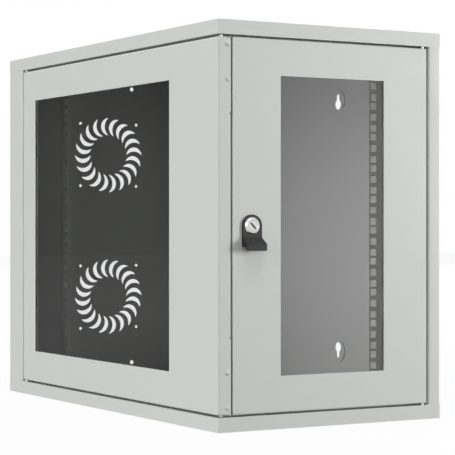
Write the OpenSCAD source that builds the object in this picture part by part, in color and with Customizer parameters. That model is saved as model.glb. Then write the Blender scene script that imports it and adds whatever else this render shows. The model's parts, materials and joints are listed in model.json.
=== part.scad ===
// Wall-hung network cabinet for 19 inch equipment: a glazed front door that swings on
// pivot pins and is held by two slide bolts, a glazed side door with a cam lock, a vented
// end panel, a wall panel with keyholes, and punched rails inside.
// X runs to the right, Y to the wall and Z up. The origin is the centre of the base.

/* [Cabinet] */
// Overall width
cab_w = 686; // [682:1:830]
// Overall depth, from the front door's face to the wall
cab_d = 361; // [320:1:440]
// Overall height
cab_h = 542; // [520:1:660]
// Thickness of the body and door sheet
sheet = 1.5; // [1.2:0.1:1.8]
// Height of the top and bottom rims, and width of the wall panel's edge band
rim = 19.5; // [17:0.5:24]
// Depth of the lips behind the rims
lip = 20; // [18:0.5:26]
// Height of the stops behind the doors, above those lips
stop_h = 8; // [5:0.5:12]
// Width of the end panel's band beside the front door
end_band = 50.5; // [40:0.5:54]
// Depth of the fold behind that band, and of the wall panel's fold
end_fold = 29; // [20:1:34]
wall_fold = 14; // [8:1:18]

/* [Doors] */
// Gap round each door
door_gap = 3; // [2.6:0.1:3.6]
// Depth of the folds along the door edges
door_fold = 16; // [14:0.5:18]
// Width of the strip of the front door that wraps round the corner
strip_w = 19.3; // [18:0.1:24]
// How much wider that strip is along its middle stretch
strip_step = 0.7; // [0.3:0.1:0.8]
// Length of that middle stretch, which the lock's cam catches behind
keep_h = 297; // [120:1:300]
// Height of both windows
window_h = 400; // [300:1:410]
// Width of the front door's window
front_window_w = 450; // [360:1:470]
// Width of the side door's window
side_window_w = 168; // [100:1:180]
// Thickness of the glass
glass_t = 4; // [3:0.5:6]
// How far the glass laps behind the sheet
glass_lap = 10; // [8:0.5:14]
// Thickness of the sealing strip between sheet and glass
seal_t = 1; // [0.8:0.1:2]

/* [Hinges and latches] */
// Diameter of the pivot pins where they cross the gap
pin_d = 5; // [4.4:0.1:5.2]
// Diameter of the pivot pins inside the door
spigot_d = 4; // [3.4:0.1:4.2]
// Distance of each pivot from the door's face and from its edge
pivot_in = 5; // [5:0.1:6]
// Diameter of the front door's slide bolts
bolt_d = 5; // [4:0.1:6]
// Distance of each slide bolt from the two faces of the corner
bolt_in = 10; // [9:0.1:11]
// Travel of the slide bolts
bolt_travel = 8; // [6:0.5:10]

/* [Lock] */
// Distance of the lock from the side door's free edge
lock_in = 28.4; // [27:0.1:40]
// Diameter of the lock's head
lock_head_d = 22.8; // [21:0.1:26]
// Diameter of the lock's barrel
barrel_d = 18.8; // [16:0.1:19.2]
// Diameter of the plug that the key turns
plug_d = 14; // [12:0.1:14.4]
// Distance of the cam's outer face behind the side door's face
cam_set = 20.6; // [19:0.1:24]
// Length of the cam from the lock's axis
cam_len = 42; // [40:0.5:48]
// Width of the finger pull
pull_w = 30; // [28:0.5:34]

/* [Rack] */
// Height of the rack in units of 44.45 mm
rack_units = 10; // [6:1:10]
// Distance of the rack's centre line from the cabinet's centre line
rack_x = -17; // [-20:1:-14]
// Distance between the hole lines of the front rails
rail_pitch = 465.1; // [464:0.1:466]
// Clear width between the front rails
rack_clear = 450; // [448:0.5:452]
// Distance of the front rails behind the front door's face
rail_set = 57.8; // [50:0.1:80]
// Thickness of the rails
rail_t = 2; // [1.5:0.1:2.5]
// Width of the front rails' hole flange
rail_w = 29.5; // [26:0.5:32]
// Depth of the front rails' side flange
rail_fold = 25; // [22:0.5:30]
// Distance of the rear uprights in front of the wall
upright_set = 42.5; // [38:0.5:60]
// Width of the rear uprights' hole flange
upright_w = 21.5; // [20:0.5:24]
// Width of the rear uprights' slotted flange
upright_fold = 30; // [26:0.5:32]
// Side of the square holes
square_hole = 9.5; // [9.2:0.1:9.7]

/* [Vents] */
// Distance between the fan screws, which stand on a square
fan_pitch = 105; // [82:0.5:105]
// Distance between the two fan centres
fan_spacing = 240; // [150:1:260]
// Slots in each fan ring
vent_count = 20; // [12:1:20]
// Inner and outer radius of each fan ring
vent_r0 = 33.5; // [30:0.5:36]
vent_r1 = 63; // [56:0.5:64]
// Diameter of the fan screw holes
fan_hole_d = 4.8; // [4:0.1:5.5]

/* [Wall keyholes] */
// Distance between the keyhole columns
key_pitch_x = 181; // [120:1:260]
// Distance between the centres of the keyholes' heads
key_pitch_z = 372.4; // [300:0.1:376]
// Diameter of the keyholes' heads
key_head_d = 15.5; // [14:0.1:16]
// Width of the keyholes' slots
key_slot_w = 7.5; // [6:0.1:8.5]

/* [Hidden] */

$fn = 48;
fit = 0.05;         // radial clearance of pins and threads that stay put
run_fit = 0.06;     // radial clearance of parts that turn or slide
clear = 0.3;        // clearance of parts that pass each other
shell = [0.80, 0.80, 0.78];
zinc = [0.72, 0.73, 0.74];
black = [0.13, 0.13, 0.13];

hw = cab_w / 2;
hd = cab_d / 2;
mid = cab_h / 2;

// Door outlines
door_z0 = rim + door_gap;
door_z1 = cab_h - door_z0;
front_x0 = -hw + end_band + door_gap;
side_y0 = -hd + strip_w + door_gap;
side_y1 = hd - rim - door_gap;
front_in = -hd + sheet;     // inner face of the front door's sheet
side_in = hw - sheet;       // inner face of the side door's sheet

// Pivots
front_pivot = [front_x0 + pivot_in, -hd + pivot_in];
side_pivot = [hw - pivot_in, side_y1 - pivot_in];
pin_head_r = pivot_in - sheet - 0.2;
pin_head_h = 2;
pin_end = 4;                // length of the spigot past the door's fold
shoulder_gap = 0.3;         // between the pin's shoulder and the door

// Slide bolts
bolt_xy = [hw - bolt_in, -hd + bolt_in];
ear_near = 18;              // from the door's end to the first ear
ear_t = 2;
ear_reach = 16;
bracket_t = 1.5;
bracket_len = 61;
rivet_near = 9.5;           // from the door's end to the rivets
rivet_far = 55.6;
rivet_in = 14.2;            // from the front face to the rivets
rivet_head_r = 4;
rivet_head_h = 1.6;
rivet_r = 2;
collar_r = 4.5;
collar_t = 2.4;
ear_far = ear_near + ear_t + bolt_travel + collar_t + 2 * clear;
lever_drop = 72;            // from the door's end to the thumb lever
lever_len = 26;

// Glass and its clips
clip_t = 1.5;
clip_w = 20;
clip_foot = 14;
clip_tab = 8;
clip_gap = 0.5;             // from the glass's edge to the clip
stud_in = 8.5;              // from the glass's edge to the stud
stud_r = 2;
stud_len = 6.5;
clip_nut_af = 7;
clip_nut_h = 3.2;

// Lock
lock_y = side_y0 + lock_in;
pull_t = 3;
pull_top = pull_w / 2;
pull_low = 27.7;
lip_out = 16.4;
lip_t = 2.6;
lip_low = 32.9;
lip_top = 23.7;
lip_start = 15.5;
head_t = 2;
barrel_back = cam_set - clear;
cam_t = 2;
cam_w = 14;
cam_hub_r = 10;
tail_side = 7;
key_slot = [11.5, 2.6, 12];  // length, width and depth
key_turn = 45;
cam_screw_r = 2;
cam_screw_head = [5, 3];
lock_nut_af = 24;
lock_nut_t = 4;
cam_clear = 0.8;            // between the cam and the strip's fold

// Rack
u = 44.45;
u_holes = [6.35, 22.225, 38.1];
rail_y = -hd + rail_set;
rail_in = rack_clear / 2;
rail_hole = rail_pitch / 2;
rail_out = rail_in + rail_w;
tab = 25;
bar_at = rail_out + 12.6;
bar_w = 50;
bar_h = 15;
bar_t = 2;
bar_y0 = rail_y - 26;
bar_y1 = hd - 14;
bar_top = sheet + bar_h;
bar_slot = 60;
bar_slot_w = 6.6;
upright_y = hd - upright_set;
upright_at = rail_out + 23.6;
upright_mid = upright_y - upright_w / 2;
upright_hole = 7.3;         // from the upright's front edge to its hole line
m6_r = 3;
m6_pitch_r = 2.675;         // the thread's middle, where a stud and its nut meet
m6_washer = 1.6;
m6_af = 10;
m6_head = 4;
m6_nut = 5;
slot_pitch = 115;
slot_len = 78;
slot_w = 14;
rail_slot_w = 7;
slot_in = 11.9;             // from the upright's bend to the slots' centre line

// Cable entry, earth stud and panel holes
entry = [220, 70];
entry_y = hd - 70;
cover = [244, 94];
cover_t = 1.5;
cover_hole = [232, 82];
cover_screw_r = 2;
cover_head = [3.8, 2];
earth_xy = [rack_x - rail_in - 7, hd - 40];
earth_len = 18;
join_y = 44;
join_z = 233.2;
join_r = 3.45;
vent_sag0 = 7.1;            // depth of the hollow side of each vent slot
vent_sag1 = 14.2;           // depth of its round side
dish_r = 17;
dish_d = 2;
key_reach = 12.1;           // from the keyhole's head to the end of its slot

module box(x0, x1, y0, y1, z0, z1) {
    translate([x0, y0, z0]) cube([x1 - x0, y1 - y0, z1 - z0]);
}

// The children and their mirror image about the middle height
module both_ends() {
    children();
    upside_down() children();
}

module upside_down() {
    translate([0, 0, cab_h]) mirror([0, 0, 1]) children();
}

module obround(length, width) {
    square([length - width, width], center = true);
    for (side = [-1, 1]) translate([side * (length - width) / 2, 0]) circle(d = width);
}

function hex_r(af) = af / 2 / cos(30);

// A hexagon nut or head standing on Z = 0
module hex(af, h, bore = 0) {
    difference() {
        cylinder(r = hex_r(af), h = h, $fn = 6);
        if (bore > 0) translate([0, 0, -1]) cylinder(r = bore, h = h + 2);
    }
}

// Body ---------------------------------------------------------------------

// The rims all round, with the lips and stops behind the two doors
module end_frame() {
    color(shell) difference() {
        union() {
            box(-hw, hw, -hd, -hd + sheet, 0, rim);
            box(-hw, hw, hd - sheet, hd, 0, rim);
            box(-hw, -hw + sheet, -hd, hd, 0, rim);
            box(hw - sheet, hw, -hd, hd, 0, rim);
            box(-hw, hw, -hd, -hd + lip, rim - sheet, rim);
            box(hw - lip, hw, -hd, hd, rim - sheet, rim);
            box(-hw + end_band + 0.5, hw - lip + sheet, -hd + lip - sheet, -hd + lip,
                rim - sheet, rim + stop_h);
            box(hw - lip, hw - lip + sheet, -hd + lip - sheet, hd - rim - 0.5,
                rim - sheet, rim + stop_h);
        }
        for (at = [front_pivot, side_pivot])
            translate([at[0], at[1], sheet + 1]) cylinder(r = pin_d / 2 + fit, h = rim);
        translate([bolt_xy[0], bolt_xy[1], sheet + 1])
            cylinder(r = bolt_d / 2 + clear, h = rim);
    }
}

module top_frame() upside_down() end_frame();

module bottom_frame() end_frame();

// The plate welded flush inside those rims, with its cable entry
module end_plate() {
    color(shell) difference() {
        box(-hw + sheet, hw - sheet, -hd + sheet, hd - sheet, 0, sheet);
        translate([0, entry_y, 0]) cube([entry[0], entry[1], 4 * sheet], center = true);
        cover_screw_places() cylinder(r = cover_screw_r + fit, h = 4 * sheet, center = true);
    }
}

module top_plate() upside_down() end_plate();

module bottom_plate() end_plate();

module keyhole_2d() {
    circle(d = key_head_d);
    translate([0, key_reach / 2]) square([key_slot_w, key_reach], center = true);
    translate([0, key_reach]) circle(d = key_slot_w);
}

// Places its children at the four keyholes, with Y along the slot and Z away from the wall
module keyhole_places() {
    for (side = [-1, 1]) for (end = [-1, 1])
        translate([side * key_pitch_x / 2, hd, mid + end * key_pitch_z / 2])
            rotate([90, end > 0 ? 0 : 180, 0]) children();
}

module wall_panel() {
    color(shell) difference() {
        union() {
            difference() {
                box(-hw + sheet, hw, hd - sheet, hd, rim, cab_h - rim);
                keyhole_places() translate([0, key_reach / 2, -1])
                    cylinder(r = dish_r - sheet, h = 4 * sheet);
            }
            keyhole_places() translate([0, key_reach / 2, 0]) difference() {
                cylinder(r = dish_r, h = dish_d + sheet);
                translate([0, 0, -1]) cylinder(r = dish_r - sheet, h = dish_d + 1);
            }
            box(hw - sheet, hw, hd - rim, hd, rim, cab_h - rim);
            box(hw - wall_fold, hw, hd - rim, hd - rim + sheet, rim, cab_h - rim);
        }
        keyhole_places() translate([0, 0, -1]) linear_extrude(dish_d + 4 * sheet) keyhole_2d();
    }
}

// One vent slot: a round side and a hollow side that meet at two points on one radius
module vent_slot_2d() {
    half = (vent_r1 - vent_r0) / 2;
    round_r = (half * half + vent_sag1 * vent_sag1) / (2 * vent_sag1);
    hollow_r = (half * half + vent_sag0 * vent_sag0) / (2 * vent_sag0);
    translate([vent_r0 + half, 0]) difference() {
        translate([0, vent_sag1 - round_r]) circle(r = round_r);
        translate([0, vent_sag0 - hollow_r]) circle(r = hollow_r);
    }
}

module fan_vent_2d() {
    for (i = [0 : vent_count - 1]) rotate(i * 360 / vent_count) vent_slot_2d();
    for (a = [-1, 1]) for (b = [-1, 1])
        translate([a * fan_pitch / 2, b * fan_pitch / 2]) circle(d = fan_hole_d);
}

// Stands the XY plane up as the YZ plane at the given X
module on_side(x) {
    translate([x, 0, mid]) rotate([90, 0, 90]) children();
}

module vent_panel() {
    color(shell) difference() {
        union() {
            box(-hw, -hw + sheet, -hd, hd, rim, cab_h - rim);
            box(-hw, -hw + end_band, -hd, -hd + sheet, rim, cab_h - rim);
            box(-hw + end_band - sheet, -hw + end_band, -hd, -hd + end_fold,
                rim, cab_h - rim);
        }
        on_side(-hw - 1) linear_extrude(sheet + 2) {
            for (end = [-1, 1]) translate([0, end * fan_spacing / 2]) fan_vent_2d();
            for (a = [-1, 1]) for (b = [-1, 1])
                translate([a * join_y, b * join_z]) circle(r = join_r);
        }
    }
}

// Rack ---------------------------------------------------------------------

// Mirrors its children, drawn for the right side, to the side given
module rack_side(side) {
    translate([rack_x, 0, 0]) mirror([side < 0 ? 1 : 0, 0, 0]) children();
}

module depth_bar(side) {
    color(zinc) rack_side(side) difference() {
        box(bar_at - bar_w / 2, bar_at + bar_w / 2, bar_y0, bar_y1, sheet, bar_top);
        box(bar_at - bar_w / 2 + bar_t, bar_at + bar_w / 2 - bar_t, bar_y0 - 1, bar_y1 + 1,
            sheet - 1, bar_top - bar_t);
        for (y = [rail_y + tab / 2, upright_mid])
            translate([bar_at, y, 0]) rotate([0, 0, 90])
                linear_extrude(2 * bar_top) obround(bar_slot, bar_slot_w);
    }
}

module depth_bar_top_left() upside_down() depth_bar(-1);

module depth_bar_top_right() upside_down() depth_bar(1);

module depth_bar_bottom_left() depth_bar(-1);

module depth_bar_bottom_right() depth_bar(1);

// The square holes of the rack's units, as cutters centred on X = 0 and Y = 0
module unit_holes() {
    for (i = [0 : rack_units - 1]) for (h = u_holes)
        translate([0, 0, mid - rack_units * u / 2 + i * u + h])
            cube([square_hole, square_hole, square_hole], center = true);
}

module front_rail(side) {
    color(shell) rack_side(side) difference() {
        union() {
            box(rail_in, rail_out, rail_y, rail_y + rail_t, bar_top, cab_h - bar_top);
            box(rail_out - rail_t, rail_out, rail_y, rail_y + rail_fold,
                bar_top, cab_h - bar_top);
            both_ends() box(rail_out - rail_t, rail_out + tab, rail_y, rail_y + tab,
                bar_top, bar_top + rail_t);
        }
        translate([rail_hole, rail_y, 0]) unit_holes();
        translate([rail_out, rail_y + rail_fold / 2 + 1, mid]) rotate([0, 90, 0])
            for (i = [-1.5 : 1.5]) translate([i * slot_pitch, 0, -4])
                linear_extrude(8) obround(slot_len, rail_slot_w);
        both_ends() translate([bar_at, rail_y + tab / 2, 0])
            cylinder(r = m6_r + clear, h = 2 * bar_top);
    }
}

module front_rail_left() front_rail(-1);

module front_rail_right() front_rail(1);

module rear_upright(side) {
    color(shell) rack_side(side) difference() {
        union() {
            box(upright_at - rail_t, upright_at, upright_y - upright_w, upright_y,
                bar_top, cab_h - bar_top);
            box(upright_at - rail_t, upright_at + upright_fold, upright_y - rail_t, upright_y,
                bar_top, cab_h - bar_top);
            both_ends() box(upright_at - tab, upright_at, upright_y - upright_w, upright_y,
                bar_top, bar_top + rail_t);
        }
        translate([upright_at, upright_y - upright_w + upright_hole, 0]) unit_holes();
        translate([upright_at + slot_in, upright_y, mid]) rotate([90, 90, 0])
            for (i = [-1.5 : 1.5]) translate([i * slot_pitch, 0, -4])
                linear_extrude(8) obround(slot_len, slot_w);
        both_ends() translate([bar_at, upright_mid, 0])
            cylinder(r = m6_r + clear, h = 2 * bar_top);
    }
}

module rear_upright_left() rear_upright(-1);

module rear_upright_right() rear_upright(1);

module rail_bolt_places() {
    for (side = [-1, 1]) both_ends() rack_side(side)
        for (y = [rail_y + tab / 2, upright_mid]) translate([bar_at, y, bar_top]) children();
}

module rail_bolts() {
    color(zinc) rail_bolt_places() {
        translate([0, 0, rail_t]) hex(m6_af, m6_head);
        translate([0, 0, -bar_t - m6_nut - 1.5]) cylinder(r = m6_r, h = m6_nut + bar_t + rail_t + 2);
    }
}

module rail_nuts() {
    color(zinc) rail_bolt_places()
        translate([0, 0, -bar_t - m6_nut]) hex(m6_af, m6_nut, m6_r + fit);
}

// Cable entries and earth stud -----------------------------------------------

module cover_screw_places() {
    for (a = [-1, 1]) for (b = [-1, 1])
        translate([a * cover_hole[0] / 2, entry_y + b * cover_hole[1] / 2, 0]) children();
}

module cable_cover() {
    color(shell) difference() {
        box(-cover[0] / 2, cover[0] / 2, entry_y - cover[1] / 2, entry_y + cover[1] / 2,
            sheet, sheet + cover_t);
        cover_screw_places() cylinder(r = cover_screw_r + fit, h = 8 * sheet, center = true);
    }
}

module cable_cover_top() upside_down() cable_cover();

module cable_cover_bottom() cable_cover();

module cable_cover_screws() {
    color(zinc) both_ends() cover_screw_places() {
        translate([0, 0, clear]) cylinder(r = cover_screw_r, h = sheet + cover_t);
        translate([0, 0, sheet + cover_t]) cylinder(r = cover_head[0], h = cover_head[1]);
    }
}

// The thread is drawn at its middle inside the nut and at its crests above it
module earth_stud() {
    nut_top = m6_washer + m6_nut;
    color(zinc) translate([earth_xy[0], earth_xy[1], sheet]) {
        cylinder(r = m6_pitch_r, h = nut_top);
        translate([0, 0, nut_top]) cylinder(r = m6_r, h = earth_len - nut_top);
    }
}

module earth_nut() {
    color(zinc) translate([earth_xy[0], earth_xy[1], sheet]) {
        difference() {
            cylinder(r = 2 * m6_r, h = m6_washer);
            translate([0, 0, -1]) cylinder(r = m6_pitch_r + fit, h = m6_washer + 2);
        }
        translate([0, 0, m6_washer]) hex(m6_af, m6_nut, m6_pitch_r + fit);
    }
}

// Pivot pins ------------------------------------------------------------------

module pivot_pin() {
    shoulder = rim + door_gap - shoulder_gap;
    translate([0, 0, rim - sheet - pin_head_h]) cylinder(r = pin_head_r, h = pin_head_h);
    translate([0, 0, rim - sheet]) cylinder(r = pin_d / 2, h = shoulder - rim + sheet);
    translate([0, 0, shoulder - 1]) cylinder(r = spigot_d / 2, h = 1 + shoulder_gap + sheet + pin_end);
}

module front_hinge_pins() {
    color(zinc) both_ends() translate([front_pivot[0], front_pivot[1], 0]) pivot_pin();
}

module side_hinge_pins() {
    color(zinc) both_ends() translate([side_pivot[0], side_pivot[1], 0]) pivot_pin();
}

// Glass, seals and clips -------------------------------------------------------

// A pane behind a window of that width, drawn with X across, Y inward from the sheet
module pane(window_w) {
    box(-window_w / 2 - glass_lap, window_w / 2 + glass_lap, seal_t, seal_t + glass_t,
        mid - window_h / 2 - glass_lap, mid + window_h / 2 + glass_lap);
}

module pane_seal(window_w) {
    difference() {
        box(-window_w / 2 - glass_lap, window_w / 2 + glass_lap, 0, seal_t,
            mid - window_h / 2 - glass_lap, mid + window_h / 2 + glass_lap);
        box(-window_w / 2 - 1, window_w / 2 + 1, -1, seal_t + 1,
            mid - window_h / 2 - 1, mid + window_h / 2 + 1);
    }
}

// Places its children round a pane, with X pointing out from the glass's edge
module clip_places(window_w, across, up) {
    for (side = [0, 180]) for (z = up)
        translate([0, 0, mid + z]) rotate([0, side, 0])
            translate([window_w / 2 + glass_lap, 0, 0]) children();
    for (side = [-90, 90]) for (x = across)
        translate([x, 0, mid]) rotate([0, side, 0])
            translate([window_h / 2 + glass_lap, 0, 0]) children();
}

module clip() {
    tab_y = seal_t + glass_t;
    translate([0, 0, -clip_w / 2]) difference() {
        linear_extrude(clip_w) {
            translate([clip_gap, 0]) square([clip_foot, clip_t]);
            translate([clip_gap, 0]) square([clip_t, tab_y + clip_t]);
            translate([-clip_tab, tab_y]) square([clip_tab + clip_gap + clip_t, clip_t]);
        }
        translate([stud_in, 0, clip_w / 2]) rotate([90, 0, 0])
            cylinder(r = stud_r + 0.2, h = 20, center = true);
    }
}

module clip_stud() {
    translate([stud_in, -sheet / 2, 0]) rotate([-90, 0, 0])
        cylinder(r = stud_r, h = stud_len + sheet / 2);
}

module clip_nut() {
    translate([stud_in, clip_t, 0]) rotate([-90, 0, 0])
        hex(clip_nut_af, clip_nut_h, stud_r + fit);
}

module on_front() {
    translate([rack_x, front_in, 0]) children();
}

module on_right() {
    translate([side_in, 0, 0]) rotate([0, 0, 90]) children();
}

module front_clip_places() {
    on_front() clip_places(front_window_w, [-150, 0, 150], [-120, 120]) children();
}

module side_clip_places() {
    on_right() clip_places(side_window_w, [0], [-120, 120]) children();
}

// Front door -------------------------------------------------------------------

module front_door_skin() {
    strip_y = -hd + strip_w;
    keep_y = strip_y + strip_step;
    keep_x = hw - cam_set + cam_clear;
    notch_h = 2;
    color(shell) difference() {
        union() {
            box(front_x0, hw, -hd, front_in, door_z0, door_z1);
            both_ends() box(front_x0, hw, -hd, -hd + door_fold, door_z0, door_z0 + sheet);
            box(front_x0, front_x0 + sheet, -hd, -hd + door_fold, door_z0, door_z1);
            box(side_in, hw, -hd, strip_y, door_z0, door_z1);
            box(side_in, hw, -hd, keep_y, mid - keep_h / 2, mid + keep_h / 2);
            box(keep_x, hw, keep_y - sheet, keep_y,
                mid - keep_h / 2 + notch_h, mid + keep_h / 2 - notch_h);
            front_clip_places() clip_stud();
        }
        box(rack_x - front_window_w / 2, rack_x + front_window_w / 2, -hd - 1, front_in + 1,
            mid - window_h / 2, mid + window_h / 2);
        both_ends() {
            translate([front_pivot[0], front_pivot[1], 0])
                cylinder(r = spigot_d / 2 + run_fit, h = 2 * door_z0);
            translate([bolt_xy[0], bolt_xy[1], 0])
                cylinder(r = bolt_d / 2 + run_fit, h = 2 * door_z0);
            box(side_in - 1, hw + 1, strip_y - 2, keep_y + 1,
                mid - keep_h / 2, mid - keep_h / 2 + notch_h);
        }
        latch_rivet_places() rotate([0, 90, 0]) cylinder(r = rivet_r + fit, h = 9, center = true);
    }
}

module front_door_glass() color([0.75, 0.82, 0.8, 0.35]) on_front() pane(front_window_w);

module front_door_seal() color(black) on_front() pane_seal(front_window_w);

module front_door_clips() color(zinc) front_clip_places() clip();

module front_door_clip_nuts() color(zinc) front_clip_places() clip_nut();

// Places its children where the latch rivets cross the strip's inner face
module latch_rivet_places() {
    both_ends() for (d = [rivet_near, rivet_far])
        translate([side_in, -hd + rivet_in, door_z0 + d]) children();
}

module lower_bracket() {
    color(zinc) difference() {
        union() {
            box(side_in - bracket_t, side_in, front_in + 0.5, -hd + strip_w - 1.5,
                door_z0 + sheet + 0.5, door_z0 + bracket_len);
            for (d = [ear_near, ear_far])
                box(side_in - ear_reach, side_in, front_in + 0.5, -hd + strip_w - 1.5,
                    door_z0 + d, door_z0 + d + ear_t);
        }
        translate([bolt_xy[0], bolt_xy[1], door_z0])
            cylinder(r = bolt_d / 2 + run_fit, h = bracket_len);
        latch_rivet_places() rotate([0, 90, 0]) cylinder(r = rivet_r + fit, h = 9, center = true);
    }
}

module lower_latch_bracket() lower_bracket();

module upper_latch_bracket() upside_down() lower_bracket();

module latch_rivets() {
    color(shell) latch_rivet_places() rotate([0, 90, 0]) {
        translate([0, 0, -bracket_t - 1.2]) cylinder(r = rivet_head_r - 0.6, h = 1.2);
        translate([0, 0, -bracket_t - 0.5]) cylinder(r = rivet_r, h = bracket_t + sheet + 1);
        translate([0, 0, sheet]) rivet_dome();
    }
}

module rivet_dome() {
    ball = (rivet_head_r * rivet_head_r + rivet_head_h * rivet_head_h) / (2 * rivet_head_h);
    intersection() {
        translate([0, 0, rivet_head_h - ball]) sphere(r = ball);
        cylinder(r = rivet_head_r, h = rivet_head_h + 1);
    }
}

module lower_bolt() {
    tip = rim + clear;
    lever_z = door_z0 + lever_drop;
    color(zinc) translate([bolt_xy[0], bolt_xy[1], 0]) {
        translate([0, 0, tip]) cylinder(r = bolt_d / 2, h = lever_z - tip);
        translate([0, 0, door_z0 + ear_near + ear_t + bolt_travel + clear])
            cylinder(r = collar_r, h = collar_t);
        translate([0, 0, lever_z]) {
            sphere(r = bolt_d / 2);
            rotate([0, -90, 0]) cylinder(r = bolt_d / 2, h = lever_len);
            translate([-lever_len, 0, 0]) sphere(r = bolt_d / 2);
        }
    }
}

module lower_latch_bolt() lower_bolt();

module upper_latch_bolt() upside_down() lower_bolt();

// Side door ----------------------------------------------------------------------

// Places its children on the lock's axis, with Z pointing out of the side door's face
module on_lock() {
    translate([hw, lock_y, mid]) rotate([90, 0, 90]) children();
}

module side_door_skin() {
    color(shell) difference() {
        union() {
            box(side_in, hw, side_y0, side_y1, door_z0, door_z1);
            both_ends() box(hw - door_fold, hw, side_y0, side_y1, door_z0, door_z0 + sheet);
            box(hw - door_fold, hw, side_y0, side_y0 + sheet, door_z0, door_z1);
            box(hw - door_fold, hw, side_y1 - sheet, side_y1, door_z0, door_z1);
            side_clip_places() clip_stud();
        }
        box(side_in - 1, hw + 1, -side_window_w / 2, side_window_w / 2,
            mid - window_h / 2, mid + window_h / 2);
        both_ends() translate([side_pivot[0], side_pivot[1], 0])
            cylinder(r = spigot_d / 2 + run_fit, h = 2 * door_z0);
        on_lock() cylinder(r = barrel_d / 2 + 0.2, h = 8, center = true);
    }
}

module side_door_glass() color([0.75, 0.82, 0.8, 0.35]) on_right() pane(side_window_w);

module side_door_seal() color(black) on_right() pane_seal(side_window_w);

module side_door_clips() color(zinc) side_clip_places() clip();

module side_door_clip_nuts() color(zinc) side_clip_places() clip_nut();

module finger_pull() {
    color(black) difference() {
        union() {
            on_lock() linear_extrude(pull_t) {
                circle(r = pull_top);
                translate([-pull_w / 2, -pull_low]) square([pull_w, pull_low]);
            }
            translate([hw, lock_y + pull_w / 2, mid]) rotate([90, 0, 0])
                linear_extrude(pull_w) polygon([
                    [0, -pull_low], [0, -lip_start], [pull_t, -lip_start],
                    [lip_out - 1, -lip_top], [lip_out, -lip_top - 1], [lip_out, -lip_low],
                    [lip_out - lip_t, -lip_low], [lip_out - lip_t, -pull_low]
                ]);
        }
        on_lock() cylinder(r = barrel_d / 2 + 0.2, h = 40, center = true);
    }
}

module lock_barrel() {
    bevel = 0.6;
    color(zinc) on_lock() difference() {
        union() {
            translate([0, 0, -barrel_back]) cylinder(r = barrel_d / 2, h = barrel_back + pull_t);
            translate([0, 0, pull_t]) rotate_extrude() polygon([
                [0, 0], [lock_head_d / 2, 0], [lock_head_d / 2, head_t - bevel],
                [lock_head_d / 2 - bevel, head_t], [0, head_t]
            ]);
        }
        cylinder(r = plug_d / 2 + run_fit, h = 80, center = true);
    }
}

module lock_nut() {
    color(zinc) on_lock() translate([0, 0, -sheet - lock_nut_t])
        hex(lock_nut_af, lock_nut_t, barrel_d / 2 + fit);
}

module lock_plug() {
    front = pull_t + head_t;
    color(zinc) on_lock() difference() {
        union() {
            translate([0, 0, -barrel_back]) cylinder(r = plug_d / 2, h = barrel_back + front);
            translate([-tail_side / 2, -tail_side / 2, -cam_set - cam_t])
                cube([tail_side, tail_side, cam_t + 1]);
        }
        rotate(-key_turn) translate([0, 0, front - key_slot[2]])
            linear_extrude(key_slot[2] + 1) obround(key_slot[0], key_slot[1]);
        translate([0, 0, -cam_set - cam_t - 1]) cylinder(r = cam_screw_r + fit, h = 10);
    }
}

module lock_cam() {
    color(zinc) on_lock() translate([0, 0, -cam_set - cam_t]) linear_extrude(cam_t)
        difference() {
            union() {
                circle(r = cam_hub_r);
                translate([-cam_w / 2, -cam_len]) square([cam_w, cam_len]);
            }
            square(tail_side + 2 * fit, center = true);
        }
}

module cam_screw() {
    color(zinc) on_lock() translate([0, 0, -cam_set - cam_t]) {
        translate([0, 0, -cam_screw_head[1]]) cylinder(r = cam_screw_head[0], h = cam_screw_head[1]);
        translate([0, 0, -1]) cylinder(r = cam_screw_r, h = 8);
    }
}

top_frame();
top_plate();
bottom_frame();
bottom_plate();
wall_panel();
vent_panel();
depth_bar_top_left();
depth_bar_top_right();
depth_bar_bottom_left();
depth_bar_bottom_right();
front_rail_left();
front_rail_right();
rear_upright_left();
rear_upright_right();
rail_bolts();
rail_nuts();
cable_cover_top();
cable_cover_bottom();
cable_cover_screws();
earth_stud();
earth_nut();
front_door_skin();
front_door_glass();
front_door_seal();
front_door_clips();
front_door_clip_nuts();
front_hinge_pins();
upper_latch_bracket();
lower_latch_bracket();
latch_rivets();
upper_latch_bolt();
lower_latch_bolt();
side_door_skin();
side_door_glass();
side_door_seal();
side_door_clips();
side_door_clip_nuts();
side_hinge_pins();
finger_pull();
lock_barrel();
lock_nut();
lock_plug();
lock_cam();
cam_screw();
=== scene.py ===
"""Looks of a wall-hung network cabinet: powder coated folded sheet, glazed doors, cam lock.

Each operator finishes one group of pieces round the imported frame, which keeps every place
and size. The sheet parts get the bend radii of folded steel, the fasteners get their
chamfers and threads, and every surface gets the finish of its real material.
"""

import json
import math

import bmesh
import bpy
from bpy.props import FloatProperty, FloatVectorProperty, PointerProperty
from mathutils import Matrix, Vector

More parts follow.
